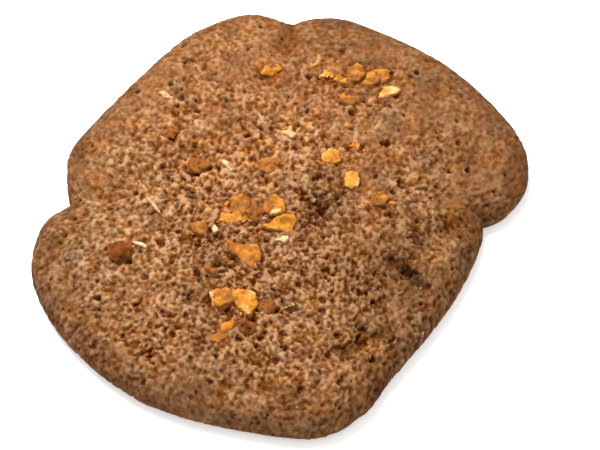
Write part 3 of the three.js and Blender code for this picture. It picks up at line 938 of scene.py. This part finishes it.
def patchy_colour(tree, place, colour):
    """Patches a few millimetres wide that are cooler or warmer, and pinker or greener."""
    patch = add_node(tree, "TexNoise",
                     {"Scale": 1 / HUE_PATCH, "Detail": 3.0, "Roughness": 0.65}, {"Vector": place})
    field = add_node(tree, "SeparateColor", {}, {"Color": patch.outputs["Color"]})
    warmth = ((0.3, "#d0d6e4"), (0.5, "#dfdfdf"), (0.7, "#ecdcb4"))
    hue = ((0.3, "#f7eaec"), (0.5, "#f5f1ea"), (0.7, "#f1f4e0"))
    for channel, stops in (("Red", warmth), ("Green", hue)):
        shift = add_node(tree, "ValToRGB", {"stops": stops}, {"Fac": field.outputs[channel]})
        mixed = add_node(tree, "Mix", TINTING, {FIRST: colour, SECOND: shift})
        colour = mixed.outputs[MIXED]
    return colour


def flecked_colour(tree, place, coarse, colour):
    """Pale flecks of bran strewn over the crumb, and pores painted nearly black inside, as painted shade."""
    moved = add_node(tree, "VectorMath", {"operation": "ADD", 1: BRAN_SHIFT}, {0: place})
    scatter = add_node(tree, "TexNoise", {"Scale": 1 / BRAN_SIZE, "Detail": 1.0}, {"Vector": moved})
    fleck = add_node(tree, "MapRange", {"From Min": 0.6, "From Max": 0.72, "To Max": 0.6},
                     {"Value": scatter})
    strewn = add_node(tree, "Math", {"operation": "MULTIPLY"}, {0: fleck, 1: coarse})
    flecked = add_node(tree, "Mix", {"data_type": "RGBA", SECOND: linear("#a98867")},
                       {"Factor": strewn, FIRST: colour})
    # Painted shade: the pores are coloured nearly black inside.
    pore = add_node(tree, "Attribute", {"attribute_name": "pore"})
    edge = {"interpolation_type": "SMOOTHSTEP", "From Min": -0.05, "From Max": 0.4, "To Max": 0.8}
    hollow = add_node(tree, "MapRange", edge, {"Value": pore.outputs["Fac"]})
    pored = add_node(tree, "Mix", {"data_type": "RGBA", SECOND: linear("#3a1503")},
                     {"Factor": hollow, FIRST: flecked.outputs[MIXED]})
    return pored.outputs[MIXED]


def toned_colour(tree, place, colour):
    """Lighter and darker areas, partly painted shade and cool light, amber rings where nut oil soaked in,
    and a browned rim with painted cool light.
    """
    cloud = add_node(tree, "TexNoise",
                     {"Scale": 1 / SHADE_PATCH, "Detail": 2.0, "Roughness": 0.7}, {"Vector": place})
    shade = add_node(tree, "ValToRGB", {"stops": ((0.3, "#cbbdb2"), (0.5, "#ece6e1"), (0.7, "#ffffff"))},
                     {"Fac": cloud})
    shaded = add_node(tree, "Mix", TINTING, {FIRST: colour, SECOND: shade})
    # The dough's own tone with painted shade in hollows and grooves and painted cool light at the rims.
    tone = add_node(tree, "Attribute", {"attribute_name": "tone"})
    toned = add_node(tree, "VectorMath", {"operation": "MULTIPLY"},
                     {0: shaded.outputs[MIXED], 1: tone.outputs["Vector"]})
    amber = add_node(tree, "Attribute", {"attribute_name": "amber"})
    oil = add_node(tree, "Math", {"operation": "MULTIPLY", 1: 0.25}, {0: amber.outputs["Fac"]})
    oiled = add_node(tree, "Mix", {**TINTING, SECOND: linear("#c88a58")}, {"Factor": oil, FIRST: toned})
    inward = add_node(tree, "Attribute", {"attribute_name": "inward"})
    rim = add_node(tree, "MapRange", {"From Min": 0.0, "From Max": BROWNED_RIM_MM},
                   {"Value": inward.outputs["Fac"]})
    # The rim is browned darker, and the bluish share of the tint is painted cool light from the white floor.
    browning = add_node(tree, "ValToRGB", {"stops": ((0.0, "#d4d5de"), (1.0, "#ffffff"))}, {"Fac": rim})
    browned = add_node(tree, "Mix", TINTING, {FIRST: oiled.outputs[MIXED], SECOND: browning})
    return browned.outputs[MIXED]


def base_colour(tree, place):
    """The baked underside: where it is, from 0 to 1, and its darker brown, darkest in its pits as painted
    shade there.
    """
    height = add_node(tree, "SeparateXYZ", {}, {"Vector": place})
    under = add_node(tree, "MapRange", {"From Min": BASE_TOP, "From Max": BASE_FULL},
                     {"Value": height.outputs["Z"]})
    pits = add_node(tree, "TexNoise",
                    {"Scale": 1 / BASE_PIT_SIZE, "Detail": 4.0, "Roughness": 0.6}, {"Vector": place})
    # Painted shade: the brown is darkest where the pits' bump is lowest.
    base = add_node(tree, "ValToRGB", {"stops": (
        (0.34, "#2c1407"), (0.44, "#593618"), (0.6, "#6d4826"), (0.75, "#80603c"),
    )}, {"Fac": pits})
    return under, base


def baked_dough_material():
    """Baked spiced dough: a dry, matt crumb, painted dark in its pores and tan on its raised grain as
    painted shade and painted light.
    """
    material, tree = new_material("baked_spiced_dough")
    place = add_node(tree, "TexCoord").outputs["Object"]
    coarse = add_node(tree, "Attribute", {"attribute_name": "coarse"}).outputs["Fac"]
    speck = crumb_specks(tree, place)
    colour = crumb_colour(tree, coarse, speck)
    colour = patchy_colour(tree, place, colour)
    colour = flecked_colour(tree, place, coarse, colour)
    colour = toned_colour(tree, place, colour)
    under, base = base_colour(tree, place)
    whole = add_node(tree, "Mix", {"data_type": "RGBA"}, {"Factor": under, FIRST: colour, SECOND: base})
    strength = add_node(tree, "Math", {"operation": "MULTIPLY", 1: 0.2}, {0: coarse})
    bump = add_node(tree, "Bump", {"Distance": SPECK_HEIGHT}, {"Strength": strength, "Height": speck})
    pitted = add_node(tree, "Bump", {"Distance": BASE_PIT_DEPTH},
                      {"Strength": under, "Height": base, "Normal": bump})
    shader = add_node(tree, "BsdfPrincipled", {"Roughness": 0.9, "Specular IOR Level": 0.02},
                      {"Base Color": whole.outputs[MIXED], "Normal": pitted})
    add_node(tree, "OutputMaterial", links={"Surface": shader})
    return material


def tinted_material(name, stops, film_colour, roughness, sheen, glow, mottling, patch, grain, depth):
    """A bit's material: its own tint along a ramp, mottled, filmed with dough, with painted light and shade
    by its relief, and a fine grain.
    """
    material, tree = new_material(name)
    place = add_node(tree, "TexCoord").outputs["Object"]
    tint = add_node(tree, "Attribute", {"attribute_name": "tint"})
    mottle = add_node(tree, "TexNoise", {"Scale": 1 / patch, "Detail": 2.0}, {"Vector": place})
    shift = add_node(tree, "MapRange",
                     {"From Min": 0.25, "From Max": 0.75, "To Min": -mottling, "To Max": mottling},
                     {"Value": mottle})
    total = add_node(tree, "Math", {"operation": "ADD"}, {0: tint.outputs["Fac"], 1: shift})
    flesh = add_node(tree, "ValToRGB", {"stops": stops}, {"Fac": total})
    film = add_node(tree, "Attribute", {"attribute_name": "film"})
    clinging = add_node(tree, "MapRange", {"To Max": 0.85}, {"Value": film.outputs["Fac"]})
    colour = add_node(tree, "Mix", {"data_type": "RGBA", SECOND: linear(film_colour)},
                      {"Factor": clinging, FIRST: flesh})
    # Painted light and shade: brighter on the relief's rises and grains, darker in its pits.
    paleness = add_node(tree, "Attribute", {"attribute_name": "paleness"})
    depth_shade = add_node(tree, "MapRange",
                           {"From Min": -0.4, "From Max": 0.4, "To Min": 0.5, "To Max": 1.5},
                           {"Value": paleness.outputs["Fac"]})
    shaded = add_node(tree, "VectorMath", {"operation": "SCALE"},
                      {0: colour.outputs[MIXED], "Scale": depth_shade})
    fine = add_node(tree, "TexNoise", {"Scale": 1 / grain, "Detail": 3.0}, {"Vector": place})
    bump = add_node(tree, "Bump", {"Strength": 0.5, "Distance": depth}, {"Height": fine})
    shader = add_node(tree, "BsdfPrincipled",
                      {"Roughness": roughness, "Specular IOR Level": sheen, "Subsurface Weight": glow,
                       "Subsurface Radius": (1.0, 0.45, 0.15), "Subsurface Scale": 1.2 * MM},
                      {"Base Color": shaded, "Normal": bump})
    add_node(tree, "OutputMaterial", links={"Surface": shader})
    return material


def roasted_nut_material():
    """Chopped roasted nut: amber, oily flesh that lets some light through, with painted shade at its foot.
    """
    stops = ((0.0, "#6b411a"), (0.28, "#844f1c"), (0.42, "#965c20"), (0.52, "#a5651c"), (0.72, "#aa7932"),
             (1.0, "#bc9561"))
    return tinted_material("roasted_nut_flesh", stops, "#7a4a1a", roughness=0.5, sheen=0.05, glow=0.35,
                           mottling=0.3, patch=1.8 * MM, grain=0.5 * MM, depth=0.06 * MM)


def nut_skin_material():
    """Browned nut skin: dull red-brown, wrinkled, with dough on its flanks."""
    stops = ((0.0, "#86644a"), (0.2, "#3c200b"), (0.45, "#683510"), (0.7, "#74431a"), (1.0, "#8c5625"))
    return tinted_material("browned_nut_skin", stops, "#6b4524", roughness=0.8, sheen=0.05, glow=0.0,
                           mottling=0.15, patch=1.6 * MM, grain=0.6 * MM, depth=0.25 * MM)


def pale_nut_material():
    """Pale nut flesh: cream, dry, a little translucent."""
    stops = ((0.0, "#805c33"), (0.5, "#a07b53"), (1.0, "#c2a378"))
    return tinted_material("pale_nut_flesh", stops, "#7d5a34", roughness=0.6, sheen=0.1, glow=0.3,
                           mottling=0.2, patch=1.6 * MM, grain=0.4 * MM, depth=0.06 * MM)


def crumb_grain_material():
    """Dry crumb grain: matt, like the dough, a little paler on flecks of bran."""
    stops = ((0.0, "#5a3a1c"), (0.45, "#80583a"), (0.8, "#a07a5a"), (1.0, "#b8987c"))
    return tinted_material("dry_crumb_grain", stops, "#6b4524", roughness=0.9, sheen=0.02, glow=0.0,
                           mottling=0.15, patch=1.6 * MM, grain=0.4 * MM, depth=0.1 * MM)


def white_floor_material():
    """Matt white card: an even pale ground."""
    material, tree = new_material("matt_white_card")
    shader = add_node(tree, "BsdfPrincipled",
                      {"Base Color": linear("#f7f6f4"), "Roughness": 0.9, "Specular IOR Level": 0.1,
                       "Emission Color": linear("#ffffff"), "Emission Strength": 0.3})
    add_node(tree, "OutputMaterial", links={"Surface": shader})
    return material


def make_floor():
    """The white floor that the biscuit lies on."""
    bpy.ops.object.select_all(action="DESELECT")
    bpy.ops.mesh.primitive_plane_add(size=FLOOR_SIZE, location=(0, 0, -FLOOR_GAP))
    floor = bpy.context.object
    floor.name = "floor"
    floor.data.materials.append(white_floor_material())


def make_camera():
    """The camera in front of the biscuit and well above it."""
    camera = bpy.data.objects.new("camera", bpy.data.cameras.new("camera"))
    bpy.context.scene.collection.objects.link(camera)
    back = Vector((0, -math.cos(VIEW_HEIGHT_ANGLE), math.sin(VIEW_HEIGHT_ANGLE)))
    camera.location = VIEW_AIM + back * VIEW_DISTANCE
    camera.rotation_euler = back.to_track_quat("Z", "Y").to_euler()
    camera.data.sensor_width = SENSOR_MM
    camera.data.lens = SENSOR_MM * VIEW_DISTANCE / VIEW_WIDTH
    camera.data.clip_start = VIEW_NEAREST
    bpy.context.scene.camera = camera


def make_lamp_and_room():
    """The lamp that gives the crumb its relief, and the white room that fills its shadows."""
    light = bpy.data.lights.new("key", "AREA")
    light.size = LAMP_SIZE
    light.energy = LAMP_POWER
    lamp = bpy.data.objects.new("key", light)
    lamp.location = LAMP_PLACE
    lamp.rotation_euler = LAMP_PLACE.to_track_quat("Z", "Y").to_euler()
    bpy.context.scene.collection.objects.link(lamp)
    room = bpy.data.worlds.new("studio")
    room.use_nodes = True
    room.node_tree.nodes["Background"].inputs["Color"].default_value = linear("#ffffff")
    room.node_tree.nodes["Background"].inputs["Strength"].default_value = ROOM_STRENGTH
    bpy.context.scene.world = room
    bpy.context.scene.view_settings.view_transform = "Standard"


def finish_piece(piece, material):
    """Gives a piece its material and body."""
    piece.data.materials.clear()
    piece.data.materials.append(material)
    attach(piece, "root")


make_floor()
make_camera()
make_lamp_and_room()

dough = make_dough()
finish_piece(dough, baked_dough_material())
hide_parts("biscuit")
crust = bvhtree.BVHTree.FromObject(dough, bpy.context.evaluated_depsgraph_get())

small_chips = splinters(np.random.default_rng(SEED), GOLDEN_CHIPS)
golden = make_chips("golden_nut_chips", [*GOLDEN_CHIPS, *small_chips], crust)
finish_piece(golden, roasted_nut_material())
skins = make_lumps("brown_nut_lumps", SKIN_LUMPS, crust)
finish_piece(skins, nut_skin_material())
pale = make_chips("pale_nut_chips", PALE_CHIPS, crust)
finish_piece(pale, pale_nut_material())
crumbs = make_crumbs(dough, skins)
finish_piece(crumbs, crumb_grain_material())
